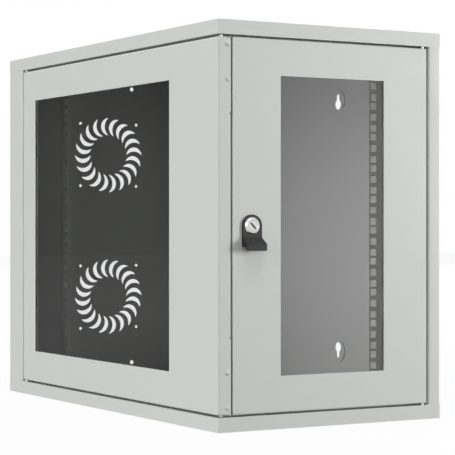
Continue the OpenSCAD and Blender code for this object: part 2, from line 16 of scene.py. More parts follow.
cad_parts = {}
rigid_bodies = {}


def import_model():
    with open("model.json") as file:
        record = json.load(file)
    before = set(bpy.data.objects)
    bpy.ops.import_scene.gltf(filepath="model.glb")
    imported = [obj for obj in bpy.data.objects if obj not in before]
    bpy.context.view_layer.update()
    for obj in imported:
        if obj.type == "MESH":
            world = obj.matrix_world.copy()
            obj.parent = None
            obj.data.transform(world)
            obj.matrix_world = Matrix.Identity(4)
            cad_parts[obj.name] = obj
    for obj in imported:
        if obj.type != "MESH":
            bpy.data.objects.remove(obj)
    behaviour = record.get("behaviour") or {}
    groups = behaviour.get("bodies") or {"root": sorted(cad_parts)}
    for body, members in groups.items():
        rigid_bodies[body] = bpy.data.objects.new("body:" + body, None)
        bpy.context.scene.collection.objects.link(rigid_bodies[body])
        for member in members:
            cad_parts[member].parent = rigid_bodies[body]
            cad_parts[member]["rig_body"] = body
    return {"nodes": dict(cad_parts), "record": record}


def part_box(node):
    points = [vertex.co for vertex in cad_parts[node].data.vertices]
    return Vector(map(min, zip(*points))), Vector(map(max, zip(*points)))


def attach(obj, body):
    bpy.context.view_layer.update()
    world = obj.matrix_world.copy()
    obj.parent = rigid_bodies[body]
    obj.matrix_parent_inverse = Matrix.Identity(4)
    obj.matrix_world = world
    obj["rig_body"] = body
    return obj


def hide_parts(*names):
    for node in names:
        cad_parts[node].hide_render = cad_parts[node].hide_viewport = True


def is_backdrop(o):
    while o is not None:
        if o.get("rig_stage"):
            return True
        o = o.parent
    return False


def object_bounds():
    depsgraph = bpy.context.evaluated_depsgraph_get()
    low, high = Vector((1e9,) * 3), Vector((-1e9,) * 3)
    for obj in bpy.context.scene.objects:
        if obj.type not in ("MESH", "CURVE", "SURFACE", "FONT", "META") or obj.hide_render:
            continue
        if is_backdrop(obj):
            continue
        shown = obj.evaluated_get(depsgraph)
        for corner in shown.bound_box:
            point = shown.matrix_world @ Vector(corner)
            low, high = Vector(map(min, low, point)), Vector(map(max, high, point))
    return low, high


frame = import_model()

bl_info = {
    "name": "Network Cabinet Looks",
    "version": (1, 0, 0),
    "blender": (4, 5, 0),
    "location": "View3D > Sidebar > Cabinet",
    "description": "Finishes the sheet metal, glass and lock of a network cabinet",
    "category": "Object",
}

MM = 0.001
CAD_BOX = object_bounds()
# Vertices nearer than the first are one, and places nearer than the second are level
WELD_DISTANCE = 1e-6
NEAR = 1e-5
# Faces that turn by more than the first meet in an edge, and by less than the second are one
SHARP = math.radians(25)
FLAT = math.radians(0.5)
# An edge that rises by more than this share of its length stands upright
UPRIGHT = 0.9
# A face narrower than this many walls is the cut edge of a sheet
CUT_FACE = 1.2
FLUSH_EDGE = 0.02 * MM
# Sheet of the skins, the trays and the small brackets, and of the rails and their bars
SKIN_WALL = 1.5 * MM
RAIL_WALL = 2 * MM
UP = Vector((0, 0, 1))
ACROSS = Vector((1, 0, 0))
INTO_DEPTH = Vector((0, 1, 0))
# The turn that lays a hexagon's corners where its flats were
TWELFTH = math.radians(30)


def linear(code):
    """The linear colour of an sRGB hex value."""
    channels = [int(code[i : i + 2], 16) / 255 for i in (0, 2, 4)]
    return [c / 12.92 if c <= 0.04045 else ((c + 0.055) / 1.055) ** 2.4 for c in channels]


def colour_property(code, words):
    """A colour swatch whose default is an sRGB hex value."""
    return FloatVectorProperty(
        name=words, description=words, subtype="COLOR", size=3, min=0, max=1, default=linear(code)
    )


def length_property(mm, words):
    """A length whose default is given in millimetres."""
    return FloatProperty(
        name=words, description=words, unit="LENGTH", min=0, default=mm * MM, precision=5
    )


def strength_property(value, words):
    """A strength of light, where 1 shows as white."""
    return FloatProperty(name=words, description=words, min=0, default=value)


class CabinetSheet(bpy.types.PropertyGroup):
    """How the sheet steel is folded and finished."""

    bend: length_property(0.8, "Inside radius of a fold")
    door_bend: length_property(1.2, "Inside radius of the front door's corner fold")
    rim_bend: length_property(0.9, "Outside radius of the end frames' tight folds")
    weld: length_property(0.5, "Radius of a ground corner weld")
    edge: length_property(0.18, "Rounding of a punched edge under its coat")
    coat: colour_property("C9CBC6", "Powder coat")
    # Painted shade: the coat turns to this colour in the hollows of its orange peel
    peel_shade: colour_property("C7C9C4", "Shade between the coat's grains")


class CabinetMetal(bpy.types.PropertyGroup):
    """The plated steel and the lock."""

    zinc: colour_property("B9BCBE", "Zinc plate")
    nickel: colour_property("CFCECD", "Nickel plate")
    edge: length_property(0.25, "Rounding of a turned edge")


class CabinetSoft(bpy.types.PropertyGroup):
    """Glass, plastic and sealing strip."""

    glass: colour_property("FDFDFF", "Tint of the glass")
    plastic: colour_property("1E1E1E", "Moulded plastic")
    seal: colour_property("1B1C1C", "Foam sealing strip")
    moulded: length_property(0.5, "Rounding of a moulded edge")
    arris: length_property(0.4, "Ground arris round the glass")


class CabinetStudio(bpy.types.PropertyGroup):
    """The room that lights the cabinet."""

    room: strength_property(0.01, "Light from the walls of the room")
    ceiling: strength_property(0.12, "Light from straight above")
    glow: strength_property(2.25, "Light from the glow in front")
    corner_glow: strength_property(0.5, "Light from the glow at the corner")


# Materials --------------------------------------------------------------------


def add_node(tree, kind, settings=None, **inputs):
    """Adds a node with its settings, and links or sets its inputs by name."""
    made = tree.nodes.new(kind)
    for name, value in (settings or {}).items():
        setattr(made, name, value)
    for name, value in inputs.items():
        socket = made.inputs[int(name[1:]) if name[0] == "_" else name.replace("_", " ")]
        if isinstance(value, bpy.types.NodeSocket):
            tree.links.new(value, socket)
        else:
            socket.default_value = value
    return made


def start_material(name):
    """An empty material and its tree."""
    material = bpy.data.materials.new(name)
    material.use_nodes = True
    material.node_tree.nodes.clear()
    return material, material.node_tree


def show(tree, shader):
    """Sends a shader to the material's output."""
    add_node(tree, "ShaderNodeOutputMaterial", Surface=shader)


def grain(tree, size_mm, detail=2.0, roughness=0.5, stretch=None):
    """Noise whose grains are that many millimetres across, in the object's own space."""
    place = add_node(tree, "ShaderNodeTexCoord").outputs["Object"]
    if stretch:
        place = add_node(tree, "ShaderNodeMapping", Vector=place, Scale=stretch).outputs["Vector"]
    return add_node(
        tree, "ShaderNodeTexNoise", Vector=place, Scale=1 / (size_mm * MM), Detail=detail,
        Roughness=roughness,
    ).outputs["Fac"]


def spread(tree, value, low, high):
    """Maps noise, which lies round a half, to a range."""
    return add_node(
        tree, "ShaderNodeMapRange", Value=value, From_Min=0.3, From_Max=0.7, To_Min=low, To_Max=high
    ).outputs["Result"]


def blend(tree, value, low, high):
    """Mixes two colours by noise."""
    mixed = add_node(
        tree, "ShaderNodeMix", {"data_type": "RGBA"}, _0=spread(tree, value, 0.0, 1.0),
        _6=(*low, 1), _7=(*high, 1),
    )
    return mixed.outputs[2]


def bump(tree, height, depth_mm, strength):
    """Relief that many millimetres deep."""
    return add_node(
        tree, "ShaderNodeBump", Height=height, Distance=depth_mm * MM, Strength=strength
    ).outputs["Normal"]


def powder_coat():
    """Polyester powder coat, sprayed and baked: a pale satin skin with a fine orange peel.

    Its grains are about half a millimetre; they are drawn at 1.6 mm so that they show."""
    sheet = bpy.context.scene.cabinet_sheet
    material, tree = start_material("powder_coat_light_grey")
    peel = grain(tree, 1.6, detail=3.0)
    # The colour darkens where the peel is low: painted shade in the hollows of the orange peel
    show(tree, add_node(
        tree, "ShaderNodeBsdfPrincipled", Base_Color=blend(tree, peel, sheet.peel_shade, sheet.coat),
        Roughness=spread(tree, grain(tree, 40), 0.37, 0.43), IOR=1.5,
        Normal=bump(tree, peel, 0.02, 0.15),
    ).outputs["BSDF"])
    return material


def zinc_plate():
    """Bright zinc plate on rolled steel: a cool metal with faint streaks along the sheet."""
    metal = bpy.context.scene.cabinet_metal
    material, tree = start_material("bright_zinc_plate")
    streaks = grain(tree, 1.2, detail=4.0, stretch=(1, 1, 0.08))
    dull = [c * 0.82 for c in metal.zinc]
    show(tree, add_node(
        tree, "ShaderNodeBsdfPrincipled", Base_Color=blend(tree, streaks, dull, metal.zinc),
        Metallic=1.0, Roughness=spread(tree, streaks, 0.3, 0.42),
        Normal=bump(tree, streaks, 0.01, 0.2),
    ).outputs["BSDF"])
    return material


def satin_nickel():
    """Nickel plated die casting, tumbled before plating: bright, warm and slightly milky."""
    metal = bpy.context.scene.cabinet_metal
    material, tree = start_material("satin_nickel_plate")
    tumble = grain(tree, 0.7, detail=4.0)
    dull = [c * 0.9 for c in metal.nickel]
    show(tree, add_node(
        tree, "ShaderNodeBsdfPrincipled", Base_Color=blend(tree, tumble, dull, metal.nickel),
        Metallic=1.0, Roughness=spread(tree, tumble, 0.13, 0.2),
        Normal=bump(tree, tumble, 0.01, 0.3),
    ).outputs["BSDF"])
    return material


def float_glass():
    """Toughened float glass: clear, with the slight ripple of its rollers.

    It mirrors what real glass does at its slant, which veils the inside with the light
    side of the studio. The rest goes through almost unbent.
    """
    soft = bpy.context.scene.cabinet_soft
    material, tree = start_material("toughened_float_glass")
    ripple = bump(tree, grain(tree, 120), 0.004, 0.05)
    tint = (*[c * 0.965 for c in soft.glass], 1)
    through = add_node(
        tree, "ShaderNodeBsdfPrincipled", Base_Color=tint, Roughness=0.0, IOR=1.02,
        Transmission_Weight=1.0, Normal=ripple,
    ).outputs[0]
    mirrored = add_node(
        tree, "ShaderNodeBsdfGlossy", Color=(1, 1, 1, 1), Roughness=0.0, Normal=ripple
    ).outputs[0]
    # One mirror image, on the side where light enters, stands for the two that a pane makes
    one = add_node(tree, "ShaderNodeFresnel", IOR=1.5, Normal=ripple).outputs[0]
    both = maths(
        tree, "DIVIDE", maths(tree, "MULTIPLY", one, 2.0), maths(tree, "ADD", one, 1.0)
    )
    leaving = add_node(tree, "ShaderNodeNewGeometry").outputs["Backfacing"]
    share = maths(tree, "MULTIPLY", both, maths(tree, "SUBTRACT", 1.0, leaving))
    show(tree, add_node(
        tree, "ShaderNodeMixShader", _0=share, _1=through, _2=mirrored
    ).outputs[0])
    return material


def moulded_plastic():
    """Glass filled nylon moulded in a sparked tool: black, matt, with a fine stipple."""
    soft = bpy.context.scene.cabinet_soft
    material, tree = start_material("moulded_black_nylon")
    stipple = grain(tree, 0.6, detail=3.0)
    pale = [min(1, c * 1.35 + 0.004) for c in soft.plastic]
    show(tree, add_node(
        tree, "ShaderNodeBsdfPrincipled", Base_Color=blend(tree, stipple, soft.plastic, pale),
        Roughness=spread(tree, stipple, 0.5, 0.6), IOR=1.5, Specular_IOR_Level=0.25,
        Normal=bump(tree, stipple, 0.04, 0.4),
    ).outputs["BSDF"])
    return material


def foam_strip():
    """Closed cell foam tape: black and dull, with open pores on its cut sides."""
    soft = bpy.context.scene.cabinet_soft
    material, tree = start_material("closed_cell_foam")
    pores = grain(tree, 0.8, detail=2.0)
    pale = [c * 1.6 + 0.004 for c in soft.seal]
    show(tree, add_node(
        tree, "ShaderNodeBsdfPrincipled", Base_Color=blend(tree, pores, soft.seal, pale),
        Roughness=0.9, IOR=1.45, Normal=bump(tree, pores, 0.15, 0.6),
    ).outputs["BSDF"])
    return material


MAKERS = {
    "cabinet_paint": powder_coat,
    "zinc_plate": zinc_plate,
    "lock_nickel": satin_nickel,
    "door_glass": float_glass,
    "black_plastic": moulded_plastic,
    "seal_foam": foam_strip,
}
SLOT_OF = {row["node"]: row["material_slot"] for row in frame["record"]["subparts"]}
finishes = {}


def finish_of(slot):
    """The material of a slot, made the first time it's asked for."""
    if slot not in finishes:
        finishes[slot] = MAKERS[slot]()
    return finishes[slot]


# Meshes -----------------------------------------------------------------------


def place_piece(mesh_data, name, nodes):
    """Turns a bmesh into a piece that stands for those CAD nodes and rides as they do."""
    mesh = bpy.data.meshes.new(name)
    mesh_data.to_mesh(mesh)
    mesh_data.free()
    mesh.shade_smooth()
    piece = bpy.data.objects.new(name, mesh)
    bpy.context.scene.collection.objects.link(piece)
    slot = SLOT_OF[nodes[0]]
    mesh.materials.append(finish_of(slot))
    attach(piece, frame["nodes"][nodes[0]]["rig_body"])
    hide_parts(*nodes)
    return piece


def merged_copy(node, cuts=(), split=False):
    """A CAD node's mesh as one closed shell with whole flat faces.

    cuts are planes, each a point and a normal, that part its edges where they cross. split
    parts the faces that have inward corners, which could fold over when they are rounded."""
    mesh_data = bmesh.new()
    mesh_data.from_mesh(frame["nodes"][node].data)
    bmesh.ops.remove_doubles(mesh_data, verts=mesh_data.verts, dist=WELD_DISTANCE)
    bmesh.ops.dissolve_limit(
        mesh_data, angle_limit=FLAT, verts=mesh_data.verts, edges=mesh_data.edges
    )
    for point, normal in cuts:
        everything = [*mesh_data.verts, *mesh_data.edges, *mesh_data.faces]
        bmesh.ops.bisect_plane(
            mesh_data, geom=everything, dist=WELD_DISTANCE, plane_co=point, plane_no=normal
        )
    if split:
        bmesh.ops.connect_verts_concave(mesh_data, faces=mesh_data.faces)
    return mesh_data


def width_of(face):
    """The width of a long thin face."""
    return 2 * face.calc_area() / face.calc_perimeter()


def round_edges(piece, radius_of):
    """Rounds each sharp edge to the radius that radius_of gives for it."""
    mesh_data = bmesh.new()
    mesh_data.from_mesh(piece.data)
    radii = {}
    for edge in mesh_data.edges:
        if edge.is_manifold and abs(edge.calc_face_angle_signed(0)) > SHARP:
            radii[edge.index] = radius_of(edge)
    widest = max(radii.values())
    weight = mesh_data.edges.layers.float.new("bevel_weight_edge")
    mesh_data.edges.ensure_lookup_table()
    for index, radius in radii.items():
        mesh_data.edges[index][weight] = radius / widest
    mesh_data.to_mesh(piece.data)
    mesh_data.free()
    rounding = piece.modifiers.new("edge rounding", "BEVEL")
    rounding.limit_method = "WEIGHT"
    rounding.width = widest
    rounding.segments = 3
    rounding.use_clamp_overlap = False
    rounding.harden_normals = False
    piece.modifiers.new("flat face normals", "WEIGHTED_NORMAL")
    return piece


def folded_sheet(
    node, name, wall, bend, edge, upright=None, flush=None, cuts=(), split=False
):
    """A CAD sheet part with its folds rounded and its cut edges just broken.

    upright, where it's given, is the radius of the folds that stand along Z. flush tells
    which edges are ground level with the next sheet and keep no rounding to speak of.
    cuts and split are as in merged_copy."""

    def radius_of(corner):
        if flush and flush(corner):
            return FLUSH_EDGE
        if min(width_of(face) for face in corner.link_faces) < CUT_FACE * wall:
            return edge
        along = corner.verts[1].co - corner.verts[0].co
        inside = bend
        if upright is not None and abs(along.normalized().z) > UPRIGHT:
            inside = upright - wall
        convex = corner.calc_face_angle_signed(0) > 0
        return max(edge, inside + wall if convex else inside)

    return round_edges(place_piece(merged_copy(node, cuts, split), name, [node]), radius_of)


def eased_solid(node, name, edge):
    """A CAD solid with every sharp edge rounded alike."""
    return round_edges(place_piece(merged_copy(node), name, [node]), lambda corner: edge)


# Turned parts -----------------------------------------------------------------

# Steps of a turned part; a multiple of 12, so that a hexagon's corners fall on steps
STEPS = 36
CHAMFER = math.tan(math.radians(30))
# Radius of a hexagon's flat face, and of its corners, over its width across flats
FACE = 0.475
CORNER = 1 / math.sqrt(3)


def turned(profile, closed=False):
    """A solid turned round Z from (radius, height) in millimetres.

    An open profile starts and ends on the axis; a closed one makes a ring."""
    mesh_data = bmesh.new()
    points = [mesh_data.verts.new((radius * MM, 0, height * MM)) for radius, height in profile]
    pairs = list(zip(points, points[1:]))
    if closed:
        pairs.append((points[-1], points[0]))
    edges = [mesh_data.edges.new(pair) for pair in pairs]
    bmesh.ops.spin(
        mesh_data, geom=points + edges, axis=UP, angle=2 * math.pi, steps=STEPS, use_merge=True
    )
    bmesh.ops.remove_doubles(mesh_data, verts=mesh_data.verts, dist=WELD_DISTANCE)
    bmesh.ops.recalc_face_normals(mesh_data, faces=mesh_data.faces)
    return mesh_data


def thread(radius, top, end, pitch):
    """The profile of a thread from its top down to its end."""
    points = []
    turns = int((top - end) / pitch)
    for turn in range(turns):
        crest = top - turn * pitch
        points += [(radius, crest), (radius - 0.54 * pitch, crest - pitch / 2)]
    return points + [(radius, top - turns * pitch)]


def hexed(mesh_data, across, high, low):
    """Cuts a turned head of corner radius to a hexagon, with a chamfer where it has one."""
    drop = (CORNER - FACE) * across * CHAMFER
    for vert in mesh_data.verts:
        x, y, z = vert.co / MM
        if math.hypot(x, y) < 1.01 * FACE * across or not low - 0.01 < z < high + 0.01:
            continue
        angle = math.atan2(y, x)
        radius = across / 2 / math.cos(angle % math.radians(60) - math.radians(30))
        fall = (radius - FACE * across) * CHAMFER
        if abs(z - (high - drop)) < 0.01:
            z = high - fall
        elif abs(z - (low + drop)) < 0.01:
            z = low + fall
        vert.co = Vector((radius * math.cos(angle), radius * math.sin(angle), z)) * MM
    return mesh_data


def hex_bolt(across, head, radius, length, pitch):
    """A hexagon head bolt whose head's face is at the height of 0."""
    drop = (CORNER - FACE) * across * CHAMFER
    profile = [(0, 0), (FACE * across, 0), (CORNER * across, -drop), (CORNER * across, -head)]
    profile += thread(radius, -head, -length + 0.4, pitch) + [(radius - 0.5, -length), (0, -length)]
    return hexed(turned(profile), across, 0, -head)


def hex_nut(across, height, bore):
    """A hexagon nut whose free face is at the height of 0."""
    drop = (CORNER - FACE) * across * CHAMFER
    lead = 0.06 * across
    profile = [
        (bore + lead, 0), (FACE * across, 0), (CORNER * across, -drop),
        (CORNER * across, drop - height), (FACE * across, -height), (bore + lead, -height),
        (bore, lead - height), (bore, -lead),
    ]
    return hexed(turned(profile, closed=True), across, 0, -height)


def grow(mesh_data, rim, rings):
    """Extrudes a rim of edges through rings of (radius, height), then closes it."""
    for radius, height in rings:
        grown = bmesh.ops.extrude_edge_only(mesh_data, edges=rim)["geom"]
        rim = [item for item in grown if isinstance(item, bmesh.types.BMEdge)]
        fresh = [item for item in grown if isinstance(item, bmesh.types.BMVert)]
        rim = [edge for edge in rim if edge.verts[0] in fresh and edge.verts[1] in fresh]
        for vert in fresh:
            flat = vert.co.xy.normalized() * radius * MM
            vert.co = (flat.x, flat.y, height * MM)
    bmesh.ops.edgeloop_fill(mesh_data, edges=rim)


def pan_screw(head_radius, head, radius, length, pitch):
    """A pan head screw with a cross recess, whose crown is at the height of 0."""
    mesh_data = bmesh.new()
    bmesh.ops.create_grid(mesh_data, x_segments=5, y_segments=5, size=0.5)
    # The lines of the grid: the cross is as wide as the middle cell and three cells long
    lines = [head_radius * MM * share for share in (-0.56, -0.42, -0.11, 0.11, 0.42, 0.56)]
    for vert in mesh_data.verts:
        column, row = (round((value + 0.5) * 5) for value in vert.co.xy)
        vert.co.xy = lines[column], lines[row]
        if not (0 < column < 5 and 0 < row < 5):
            vert.co.xy = vert.co.xy.normalized() * 0.6 * head_radius * MM
    reach = 0.43 * head_radius * MM
    width = 0.12 * head_radius * MM
    cross = [
        face for face in mesh_data.faces
        if min(abs(value) for value in face.calc_center_median().xy) < width
        and max(abs(value) for value in face.calc_center_median().xy) < reach
    ]
    sunk = bmesh.ops.extrude_face_region(mesh_data, geom=cross)["geom"]
    for item in sunk:
        if isinstance(item, bmesh.types.BMVert):
            item.co.xy *= 0.8
            item.co.z = -0.6 * head * MM
    bmesh.ops.delete(mesh_data, geom=cross, context="FACES")
    rim = [edge for edge in mesh_data.edges if edge.is_boundary]
    rings = [(0.84 * head_radius, -0.16 * head), (0.97 * head_radius, -0.5 * head),
             (head_radius, -0.8 * head), (head_radius, -head)]
    grow(mesh_data, rim, rings + thread(radius, -head, -length + 0.3, pitch)
         + [(0.8 * radius, -length)])
    bmesh.ops.recalc_face_normals(mesh_data, faces=mesh_data.faces)
    return mesh_data


def joined(first, second):
    """One bmesh of two."""
    mesh = bpy.data.meshes.new("joined")
    second.to_mesh(mesh)
    second.free()
    first.from_mesh(mesh)
    bpy.data.meshes.remove(mesh)
    return first


def rivet():
    """The profile of a solid rivet: a domed head outside, a set tail inside."""
    reach, height = 4.0, 1.6
    ball = (reach ** 2 + height ** 2) / (2 * height)
    rises = [reach * step / 6 for step in range(7)]
    dome = [(rise, math.sqrt(ball ** 2 - rise ** 2) - ball) for rise in rises]
    shank = [(2, -height), (2, -4.6)]
    tail = [(3.2, -4.6), (3.4, -4.8), (3.4, -5.3), (2.6, -5.8), (0, -5.8)]
    return dome + shank + tail


def solids_of(node):
    """The lowest and highest corners of each loose solid in a CAD node."""
    mesh_data = merged_copy(node)
    left = set(mesh_data.verts)
    boxes = []
    while left:
        front = [left.pop()]
        found = list(front)
        while front:
            near = {vert for edge in front.pop().link_edges for vert in edge.verts} & left
            left -= near
            front += near
            found += near
        boxes.append([
            Vector(pick(vert.co[axis] for vert in found) for axis in range(3))
            for pick in (min, max)
        ])
    mesh_data.free()
    return sorted(boxes, key=lambda box: tuple(box[0]))


def repeat_on(node, name, template, towards, turn=0.0):
    """Puts a template on each solid of a node, with its face at the end that towards gives.

    towards is a direction, or None for parts that face the cabinet's middle height. turn
    is the template's turn about its own axis."""
    mesh = bpy.data.meshes.new("template")
    bmesh.ops.rotate(template, verts=template.verts, matrix=Matrix.Rotation(turn, 3, "Z"))
    template.to_mesh(mesh)
    template.free()
    whole = bmesh.new()
    middle = (CAD_BOX[0][2] + CAD_BOX[1][2]) / 2
    for low, high in solids_of(node):
        centre = (low + high) / 2
        facing = towards or (UP if centre.z < middle else -UP)
        seat = centre + facing * abs((high - low).dot(facing)) / 2
        start = len(whole.verts)
        whole.from_mesh(mesh)
        whole.verts.ensure_lookup_table()
        turned_to = Matrix.Translation(seat) @ UP.rotation_difference(facing).to_matrix().to_4x4()
        bmesh.ops.transform(whole, matrix=turned_to, verts=whole.verts[start:])
    bpy.data.meshes.remove(mesh)
    piece = place_piece(whole, name, [node])
    piece.data.set_sharp_from_angle(angle=SHARP)


# Studio -----------------------------------------------------------------------

# Where the camera stands, its turn from straight at the front, and its lens in millimetres
CAMERA_PLACE = (2.3169, -1.3184, 0.271)
CAMERA_TURN = math.radians(59.73)
CAMERA_SHIFT = -0.00364
FOCAL_LENGTH = 138.0
SENSOR_WIDTH = 36
LAMP_DISTANCE = 9.0
# Direction from the cabinet, width and height in metres and watts of each lamp
LAMPS = {
    "corner_strip": {"towards": (0.52, -0.85, 0.27), "size": (1.6, 7.0), "power": 130},
    "front_softbox": {"towards": (-0.3, -1.0, 0.02), "size": (3.6, 3.6), "power": 195},
    "end_softbox": {"towards": (1.0, -0.3, 0.12), "size": (3.6, 3.6), "power": 170},
    "side_softbox": {"towards": (0.8, 0.95, 0.14), "size": (3.0, 3.0), "power": 500},
    "back_softbox": {"towards": (-0.6, 0.7, 0.5), "size": (4.5, 4.5), "power": 486},
    "top_softbox": {"towards": (0.5, -0.1, 1.0), "size": (3.6, 3.6), "power": 210},
}
# Direction of each glow that reaches through the glass, the angles at which it starts to
# fade and ends, and how far its height is pressed: less than 1 makes it an upright band
GLOWS = {
    "glow": {"towards": (-0.38, -0.9, 0.14), "inner": 8, "outer": 32, "press": 0.35},
    "corner_glow": {"towards": (0.6, -0.8, 0.05), "inner": 8, "outer": 20, "press": 1.0},
}
# The room's dark door and a bright lamp, which only mirror images show: the direction of
# each, the angles at which it starts to fade and ends, and how far it is from white
DARK_DOOR = ((-0.9, -0.44, 0.0), 11, 24, 0.95)
BRIGHT_LAMP = ((0.56, -0.76, 0.3), 14, 24, 2.5)
FLOOR_SIZE = 12
# The floor lies this far under the cabinet's base, so that the two don't share a plane
FLOOR_GAP = 0.5 * MM
# The share of the floor that shows white; the rest shows the light that falls on it
WHITE_SHARE = 0.93


def maths(tree, operation, *values):
    """The result of a Math node."""
    inputs = {f"_{index}": value for index, value in enumerate(values)}
    return add_node(tree, "ShaderNodeMath", {"operation": operation}, **inputs).outputs[0]


def seen_directly(tree):
    """1 for what the camera sees, also in glass and metal, and 0 for light on the object."""
    path = add_node(tree, "ShaderNodeLightPath").outputs
    looks = maths(tree, "MAXIMUM", path["Is Camera Ray"], path["Is Glossy Ray"])
    looks = maths(tree, "MAXIMUM", looks, path["Is Transmission Ray"])
    return maths(tree, "MULTIPLY", looks, maths(tree, "LESS_THAN", path["Diffuse Depth"], 0.5))


def patch(tree, towards, centre, inner, outer, strength):
    """A soft round patch of a strength about a direction, and 0 away from it."""
    near = add_node(
        tree, "ShaderNodeVectorMath", {"operation": "DOT_PRODUCT"},
        _0=towards, _1=Vector(centre).normalized(),
    ).outputs["Value"]
    return add_node(
        tree, "ShaderNodeMapRange", {"interpolation_type": "SMOOTHSTEP"}, Value=near,
        From_Min=math.cos(math.radians(outer)), From_Max=math.cos(math.radians(inner)),
        To_Min=0.0, To_Max=strength,
    ).outputs["Result"]


def room_walls(tree, towards):
    """How bright the room is as it is seen: 1, but mirrors show its dark door and a lamp."""
    path = add_node(tree, "ShaderNodeLightPath").outputs
    mirrored = maths(
        tree, "MULTIPLY", path["Is Glossy Ray"],
        maths(tree, "SUBTRACT", 1.0, path["Is Transmission Ray"]),
    )
    shown = maths(
        tree, "SUBTRACT", patch(tree, towards, *BRIGHT_LAMP), patch(tree, towards, *DARK_DOOR)
    )
    return maths(tree, "MULTIPLY_ADD", mirrored, shown, 1.0)


def paper_sheet():
    """The floor: white paper that keeps a faint shadow."""
    mesh_data = bmesh.new()
    bmesh.ops.create_grid(mesh_data, x_segments=1, y_segments=1, size=FLOOR_SIZE)
    mesh = bpy.data.meshes.new("studio_floor")
    mesh_data.to_mesh(mesh)
    mesh_data.free()
    material, tree = start_material("white_paper_floor")
    towards = add_node(
        tree, "ShaderNodeVectorMath", {"operation": "SCALE"},
        _0=add_node(tree, "ShaderNodeNewGeometry").outputs["Incoming"], Scale=-1.0,
    ).outputs["Vector"]
    white = add_node(
        tree, "ShaderNodeEmission", Color=(1, 1, 1, 1), Strength=room_walls(tree, towards)
    ).outputs[0]
    lit = add_node(tree, "ShaderNodeBsdfDiffuse", Color=(0.95, 0.95, 0.95, 1)).outputs[0]
    paper = add_node(tree, "ShaderNodeMixShader", _0=WHITE_SHARE, _1=lit, _2=white).outputs[0]
    clear = add_node(tree, "ShaderNodeBsdfTransparent").outputs[0]
    show(tree, add_node(
        tree, "ShaderNodeMixShader", _0=seen_directly(tree), _1=clear, _2=paper
    ).outputs[0])
    mesh.materials.append(material)
    return mesh


def studio_world(studio):
    """A white room as it is seen, and a dim one with soft glows as it lights the object.

    Each glow's strength is the studio's property of the same name."""
    world = bpy.data.worlds.new("studio")
    world.use_nodes = True
    tree = world.node_tree
    tree.nodes.clear()
    towards = add_node(tree, "ShaderNodeTexCoord").outputs["Generated"]
    height = add_node(tree, "ShaderNodeSeparateXYZ", Vector=towards).outputs["Z"]
    light = add_node(
        tree, "ShaderNodeMapRange", {"interpolation_type": "SMOOTHSTEP"}, Value=height,
        From_Min=0.1, From_Max=0.95, To_Min=studio.room, To_Max=studio.ceiling,
    ).outputs["Result"]
    for name, glow in GLOWS.items():
        pressed = add_node(
            tree, "ShaderNodeVectorMath", {"operation": "MULTIPLY"},
            _0=towards, _1=(1, 1, glow["press"]),
        ).outputs["Vector"]
        pressed = add_node(
            tree, "ShaderNodeVectorMath", {"operation": "NORMALIZE"}, _0=pressed
        ).outputs["Vector"]
        spot = patch(
            tree, pressed, glow["towards"], glow["inner"], glow["outer"], getattr(studio, name)
        )
        light = maths(tree, "ADD", light, spot)
    lit = add_node(tree, "ShaderNodeBackground", Color=(1, 1, 1, 1), Strength=light).outputs[0]
    white = add_node(
        tree, "ShaderNodeBackground", Color=(1, 1, 1, 1), Strength=room_walls(tree, towards)
    ).outputs[0]
    mixed = add_node(
        tree, "ShaderNodeMixShader", _0=seen_directly(tree), _1=lit, _2=white
    ).outputs[0]
    add_node(tree, "ShaderNodeOutputWorld", Surface=mixed)
    return world


# Operators --------------------------------------------------------------------


class CABINET_OT_carcass(bpy.types.Operator):
    """Folds the end frames, their plates, the wall panel and the vented end panel"""

    bl_idname = "cabinet.carcass"
    bl_label = "Carcass"

    def execute(self, context):
        sheet = context.scene.cabinet_sheet
        folds = (SKIN_WALL, sheet.bend, sheet.edge)
        levels = [corner.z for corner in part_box("wall_panel")]
        band_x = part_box("vent_panel")[1].x
        band_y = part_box("wall_panel")[0].y

        def flush(corner):
            """The seams between the frames and the panels' bands, away from the doors."""
            middle = (corner.verts[0].co + corner.verts[1].co) / 2
            level = any(
                all(abs(vert.co.z - height) < NEAR for vert in corner.verts)
                for height in levels
            )
            return level and (middle.x < band_x + NEAR or middle.y > band_y - NEAR)

        cuts = (((band_x, 0, 0), (1, 0, 0)), ((0, band_y, 0), (0, 1, 0)))
        for end in ("top", "bottom"):
            folded_sheet(
                f"{end}_frame", f"{end}_rims", SKIN_WALL, sheet.rim_bend - SKIN_WALL,
                sheet.edge, upright=sheet.weld, flush=flush, cuts=cuts,
            )
            folded_sheet(f"{end}_plate", f"{end}_sheet", *folds)
        for node in ("wall_panel", "vent_panel"):
            folded_sheet(node, f"{node}_sheet", *folds, flush=flush)
        for node in ("cable_cover_top", "cable_cover_bottom"):
            folded_sheet(node, f"{node}_plate", *folds)
        return {"FINISHED"}


class CABINET_OT_doors(bpy.types.Operator):
    """Folds both door skins"""

    bl_idname = "cabinet.doors"
    bl_label = "Doors"

    def execute(self, context):
        sheet = context.scene.cabinet_sheet
        for door, bend in (("front_door", sheet.door_bend), ("side_door", sheet.bend)):
            folded_sheet(f"{door}_skin", f"{door}_sheet", SKIN_WALL, bend, sheet.edge)
        return {"FINISHED"}


class CABINET_OT_rails(bpy.types.Operator):
    """Folds the rack rails and the bars that carry them"""

    bl_idname = "cabinet.rails"
    bl_label = "Rails"

    def execute(self, context):
        sheet = context.scene.cabinet_sheet
        folds = (RAIL_WALL, sheet.bend, sheet.edge)
        for side in ("left", "right"):
            for node in (f"front_rail_{side}", f"rear_upright_{side}"):
                folded_sheet(node, f"{node}_profile", *folds, split=True)
            for end in ("top", "bottom"):
                node = f"depth_bar_{end}_{side}"
                folded_sheet(node, f"{node}_channel", *folds)
        return {"FINISHED"}


